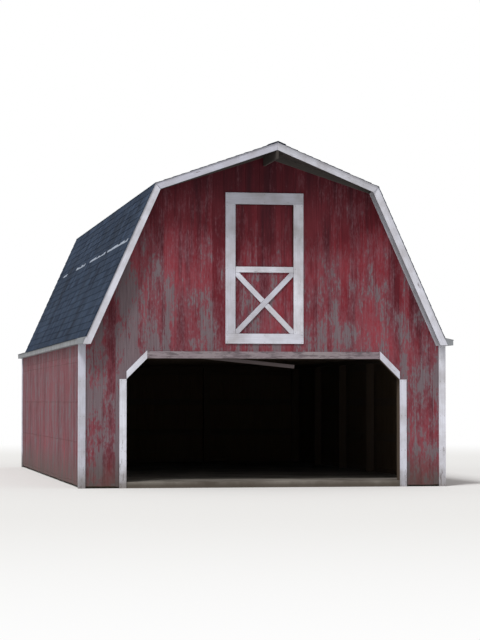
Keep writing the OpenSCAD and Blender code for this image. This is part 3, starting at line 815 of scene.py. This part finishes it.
# Dark colours for the barge rafters and the upper friezes: weathered wood, and painted shade of the hood.
damp = (board_wood("damp_dark_boards", "#322E2B", "#5B5551"), "framing_timber")
barges = []
for facing, end, edge in ((-1, "front", (hood_y, -rake_y)), (1, "rear", (rake_y, rake_y))):
    rakes = slope_boards(facing, edge, 0.0, TRIM_T, SHINGLE_T, RAKE_W, JOINT / 2, 161 + facing)
    fit_slope_boards(end + "_rakes_trim", rakes, 165 + facing, white, end + "_rakes")
    barges += slope_boards(facing, edge, -BARGE_T, 0.0, DECK_D, BARGE_H, RIDGE_HALF_T, 171)
fit_slope_boards("barge_rafter_boards", barges, 172, damp, "barge_rafters")
for facing, node in ((-1, "front_frieze"), (1, "rear_frieze")):
    high, low = slope_boards(facing, (facing * half_l, facing * half_l), 0.0, TRIM_T, DECK_D, FRIEZE_W,
                             RIDGE_HALF_T + JOINT / 2, 181 + facing)
    fit_slope_boards(node + "_trim", [low], 185 + facing, white, node)
    # The upper friezes take the dark boards: painted shade of the hood on weathered wood.
    fit_slope_boards(node + "_high_boards", [high], 187 + facing, damp)


# The eave boards
# A long box of boards under the foot of each slope closes the head of the side wall. Their white paint is
# coloured grey: partly wear, partly painted shade under the eave.
def eave_paint():
    """Grey-white paint on boards that run along the barn, its grey partly wear and partly painted shade of
    the eave, stained where water drips from the shingles. Fibres are drawn 9 mm wide, and drips 110 mm apart."""
    material, add = start_finish("eave_white_paint")
    place = add("TexCoord", output="Object")
    fibres = drawn_out(add, place, (110.0, 2.5, 110.0), 6.0, 0.62)
    drips = drawn_out(add, place, (2.0, 9.0, 2.0), 7.0, 0.66)
    stained = add("MapRange", {"Value": drips, "From Min": 0.45, "From Max": 0.68, "To Max": 0.75})
    colour = coated(add, "#74777B", (fibres, "#95989C"), (stained, "#504C4A"))
    end_finish(add, fibres, 0.4, 0.0015, {"Base Color": colour, "Roughness": 0.75})
    return material


dress(eave_paint(), "eave_boards")


# The shingles
# Bitumen shingles with dark blue-grey stone granules, three tabs to a strip, nailed in courses that overlap
# like scales. Each course is shifted half a tab, and the slots between the tabs show the strip below.
TAB_W = 0.305
SLOT = 0.008
EXPOSURE = 0.143
HEAD_LAP = 0.030
TAB_T = 0.0045
TAB_LIFT = 0.0012
TAB_SHIFT = 0.002
BUTT_DEPTH = 0.0016
HEAD_SINK = 0.0066
HEAD_THINNED = 0.75
NARROWEST = 0.01
SHEET_T = 0.0012
THERE_AND_BACK = np.array([0.0, 0.5, 1.0, 1.0, 0.5, 0.0])
TINT_MEAN, TINT_SPREAD = 0.5, 0.28
TORN_H = 0.068
TORN_LEAST = 0.35
TORN_ROW = 12
TORN_STRETCHES = ((-5.96, -3.23), (-2.84, -0.34), (0.76, 2.32), (4.4, 5.0))


def stone_granules():
    """Slate-blue granules pressed into bitumen, 1 to 2 mm across, drawn 9 mm across so that they show. Tabs
    differ from one another, and rain has left paler and darker streaks down the slope."""
    material, add = start_finish("slate_blue_shingles")
    place = add("TexCoord", output="Object")
    tint = add("Attribute", output="Fac", attribute_name="tint")
    granules = add("TexNoise", {"Vector": place, "Scale": 110.0, "Detail": 2.0, "Roughness": 0.7})
    streaks = drawn_out(add, place, (0.5, 2.2, 0.5), 6.0, 0.6)
    clouds = add("TexNoise", {"Vector": place, "Scale": 0.6, "Detail": 4.0})
    washed = add("MapRange", {"Value": streaks, "From Min": 0.4, "From Max": 0.68, "To Max": 0.45})
    damp = add("MapRange", {"Value": clouds, "From Min": 0.5, "From Max": 0.7, "To Max": 0.5})
    # The granules' dark slate blue is partly their own colour, partly painted shade tinted by blue sky light.
    stone = toned(add, coated(add, "#1C2534", (tint, "#344053")), granules, (0.3, 0.7), (0.62, 1.42))
    colour = coated(add, stone, (washed, "#434F60"), (damp, "#191C22"))
    end_finish(add, granules, 0.5, 0.0015,
               {"Base Color": colour, "Roughness": 0.95, "Specular IOR Level": 0.04})
    return material


def tab_tints(draw, shape):
    """How dark each tab is, from 0 to 1: most lie near the middle."""
    return np.clip(draw.normal(TINT_MEAN, TINT_SPREAD, shape), 0, 1)


def tab_rings(length, exposure, front, rear, seed, torn=()):
    """Rings round the tabs of one slope, as (down, out, along), and round the thin sheet that they lie on.
    Each tab is a wedge: its butt lies on top, and its head runs in under the next course. It is cut where it
    crosses the slope's front or rear end, and in the torn course it has lost some of its butt."""
    draw = np.random.default_rng(seed)
    first = min(front(0.0, 0.0), front(length, 0.0))
    rows = np.arange(math.ceil(length / exposure))
    tabs = np.arange(math.ceil((rear - first) / TAB_W) + 2)
    row, tab = (a.ravel() for a in np.meshgrid(rows, tabs, indexing="ij"))
    lift = draw.uniform(0, TAB_LIFT, row.shape)
    butt = length - row * exposure - draw.uniform(0, 2 * TAB_SHIFT, row.shape)
    head = np.maximum(butt - exposure - HEAD_LAP, 0.0)
    shift = draw.uniform(-TAB_SHIFT, TAB_SHIFT, row.shape)
    left = first + (tab - 0.5 * (row % 2) - 0.25) * TAB_W + shift
    tear = TORN_H * draw.uniform(TORN_LEAST, 1.0, row.shape)
    for low, high in torn:
        butt -= tear * ((row == TORN_ROW) & (low - TAB_W < left) & (left < high))
    down = np.stack([head, (head + butt) / 2, butt], axis=1)
    share = (butt[:, None] - down) / (exposure + HEAD_LAP)
    top = -BUTT_DEPTH + lift[:, None] * (1 - share) - HEAD_SINK * share
    under = top - TAB_T * (1 - HEAD_THINNED * share)
    down = np.concatenate([down, down[:, ::-1]], axis=1)[:, None]
    out = np.concatenate([top, under[:, ::-1]], axis=1)[:, None]
    ends = np.stack([left, left + TAB_W - SLOT], axis=1)[:, :, None]
    along = np.clip(ends, front(down, 0.0), rear)
    rings = points(down, out, along)
    whole = (along[:, 1] - along[:, 0]).min(axis=1) > NARROWEST
    down = THERE_AND_BACK * length
    out = np.repeat([SHEET_T, 0.0], 3) - SHINGLE_T
    sheet = points(down, out, [front(down, 0.0), rear + 0 * down])
    return np.concatenate([rings[whole], sheet[None]]), np.append(tab_tints(draw, row.shape)[whole], 0.0)


bitumen = (stone_granules(), "shingles")
end_y = shingles_high.y
upper_front = hood_edge(shingles_low.y, -end_y)
for side, node, torn in ((-1, "left_shingles", TORN_STRETCHES), (1, "right_shingles", ())):
    upper, upper_tints = tab_rings(upper_l, EXPOSURE, upper_front, end_y, 191 + side)
    lower, lower_tints = tab_rings(lower_l, EXPOSURE, level(-end_y), end_y, 195 + side, torn)
    fit(node + "_tabs", *both_slopes(side, upper, lower), 199 + side, bitumen, node,
        tint=np.concatenate([upper_tints, lower_tints]))


# The torn course
# On the left slope one course has lost its lower edge in four stretches, each some tabs long. The felt that
# lies bare there has bleached to a pale blue-grey: a broken line along the roof.
FELT_LAP = 0.012
FELT_SHORT = 0.002
FELT_PAST = 0.12
FELT_HEIGHTS = (-0.0058, -0.0048, -0.0036, -0.0048, -0.0060, -0.0070)


def bleached_felt():
    """Roofing felt with its bitumen weathered away: matt and pale, with dark specks left, 17 mm apart."""
    material, add = start_finish("bleached_roofing_felt")
    place = add("TexCoord", output="Object")
    specks = add("TexNoise", {"Vector": place, "Scale": 60.0, "Detail": 6.0, "Roughness": 0.7})
    worn = add("MapRange", {"Value": specks, "From Min": 0.36, "From Max": 0.52})
    colour = coated(add, "#5E6876", (worn, "#A6AFBD"))
    end_finish(add, specks, 0.4, 0.001,
               {"Base Color": colour, "Roughness": 0.95, "Specular IOR Level": 0.15})
    return material


# A sheet of felt runs from under the course above to just short of where the tabs' butts were.
felt_top = lower_l - TORN_ROW * EXPOSURE - TORN_H - FELT_LAP
felt_down = felt_top + THERE_AND_BACK * (TORN_H + FELT_LAP - FELT_SHORT)
felt_ends = np.array(TORN_STRETCHES)[:, :, None] + np.array([-FELT_PAST, FELT_PAST])[:, None]
fit("left_bare_felt", points(felt_down, FELT_HEIGHTS, felt_ends), slope_directions(-1, LOWER_PITCH),
    (-knee_x, 0, knee_z), 205, (bleached_felt(), "shingles"))


# The ridge cap
# Single tabs of the same shingle, bent over the ridge and nailed. Laid from the front, each covers the head
# and the nails of the one before it.
CAP_W = 0.150
CAP_RISE = (0.0085, 0.0042)
CAP_THICK = (0.0045, 0.0015)
CAP_LIFT = 0.001
cap_low, cap_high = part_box("ridge_cap")
cap_count = math.ceil((cap_high.y - cap_low.y) / EXPOSURE)
cap_draw = np.random.default_rng(211)
butts = cap_low.y + np.arange(cap_count) * EXPOSURE
wing = np.array([-1.0, -0.5, 0.0, 0.5, 1.0]) * CAP_W
over_ridge = np.concatenate([wing, wing[::-1]])
along = np.stack([butts, np.minimum(butts + EXPOSURE + HEAD_LAP, cap_high.y)], axis=1)[:, :, None]
along = np.maximum(along, hood_edge(cap_low.y, -end_y)(abs(over_ridge), 0.0))
rise = np.array(CAP_RISE)[None, :, None] + cap_draw.uniform(0, CAP_LIFT, (cap_count, 1, 1))
rise = rise - np.repeat([0.0, 1.0], len(wing)) * np.array(CAP_THICK)[:, None]
x_over = over_ridge * math.cos(UPPER_PITCH) + np.sign(over_ridge) * rise * math.sin(UPPER_PITCH)
z_over = -abs(over_ridge) * math.sin(UPPER_PITCH) + rise * math.cos(UPPER_PITCH)
fit("ridge_cap_tabs", points(x_over, z_over, along), LYING_ALONG_Y, (0, 0, ridge_z), 212, bitumen,
    "ridge_cap", tint=tab_tints(cap_draw, cap_count))


# The eave shingles
# One course of the same tabs, nailed over the sloped top of each eave board, so that water off the roof
# drips past it.
EAVE_FALL = 0.035
EAVE_CLEAR = 0.002
eave_low, eave_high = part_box("eave_strips")
ledge_pitch = math.atan2(EAVE_FALL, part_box("eave_boards")[1].x - foot_x)
ledge_l = (eave_high.x - foot_x - SHINGLE_T * math.sin(ledge_pitch)) / math.cos(ledge_pitch) - EAVE_CLEAR
for side, name, nodes in ((-1, "left_eave_tabs", ()), (1, "right_eave_tabs", ("eave_strips",))):
    rings, tints = tab_rings(ledge_l, ledge_l, level(eave_low.y), eave_high.y, 221 + side)
    rings[..., 1] += SHINGLE_T * math.cos(ledge_pitch)
    fit(name, rings, slope_directions(side, ledge_pitch), (side * foot_x, 0, eave_z), 225 + side, bitumen,
        *nodes, tint=tints)


# The stage
# No part of the barn: a pale matt floor that turns white far off, to hide the horizon, a white surround and
# one broad, soft lamp.
STAGE_SIZE = 400.0
PALE_TO, WHITE_FROM = 14.0, 34.0
SURROUND = 0.52
KEY_TURN = math.radians(-38)
KEY_HEIGHT = math.radians(52)
STATION = (-6.72, -42.366, 1.41)
AIM = (-0.41, -6.1, 2.75)
LENS = 126.0


def stage_floor():
    """Matt pale grey near the barn, and plain white to the camera beyond it."""
    material, add = start_finish("stage_floor")
    place = add("TexCoord", output="Object")
    away = add("VectorMath", {0: place}, output="Value", operation="LENGTH")
    far = add("MapRange", {"Value": away, "From Min": PALE_TO, "From Max": WHITE_FROM},
              interpolation_type="SMOOTHSTEP")
    seen = add("LightPath", output="Is Camera Ray")
    white = add("Math", {0: far, 1: seen}, operation="MULTIPLY")
    matt = add("BsdfDiffuse", {"Color": "#E4E3E1"})
    glow = add("Emission", {"Color": "#FFFFFF", "Strength": 1.0})
    add("OutputMaterial", {"Surface": add("MixShader", {0: white, 1: matt, 2: glow})})
    return material


corners = np.array([(-1, -1, 0), (1, -1, 0), (1, 1, 0), (-1, 1, 0)]) * STAGE_SIZE
stage_mesh = bpy.data.meshes.new("stage_floor")
stage_mesh.from_pydata(corners.tolist(), [], [(0, 1, 2, 3)])
stage_mesh.materials.append(stage_floor())
new_object("stage_floor", stage_mesh)

# The surround is plain white wherever the camera sees it, also in a reflection, and dimmer as a light.
world = bpy.data.worlds.new("studio")
bpy.context.scene.world = world
world.use_nodes = True
world.node_tree.nodes.clear()
add = functools.partial(add_node, world.node_tree)
seen = 0.0
for kind in ("Camera", "Glossy", "Transmission"):
    ray = add("LightPath", output=f"Is {kind} Ray")
    seen = add("Math", {0: seen, 1: ray}, operation="MAXIMUM")
strength = add("MapRange", {"Value": seen, "To Min": SURROUND, "To Max": 1.0})
add("OutputWorld", {"Surface": add("Background", {"Color": "#FFFFFF", "Strength": strength})})

key = new_object("key_light", bpy.data.lights.new("key_light", "SUN"))
key.data.energy = 2.3
key.data.angle = math.radians(14)
key.rotation_euler = (math.pi / 2 - KEY_HEIGHT, 0, KEY_TURN)

# The camera stands where the photograph was taken: left of the barn's middle, at eye height, 36 m away. A
# long lens lets the barn fill the frame.
camera = new_object("camera", bpy.data.cameras.new("camera"))
camera.data.lens = LENS
camera.data.clip_end = 2000.0
camera.location = STATION
x, y, z = np.subtract(AIM, STATION)
camera.rotation_euler = (math.atan2(math.hypot(x, y), -z), 0, math.atan2(-x, y))
bpy.context.scene.camera = camera
bpy.context.scene.view_settings.view_transform = "Standard"
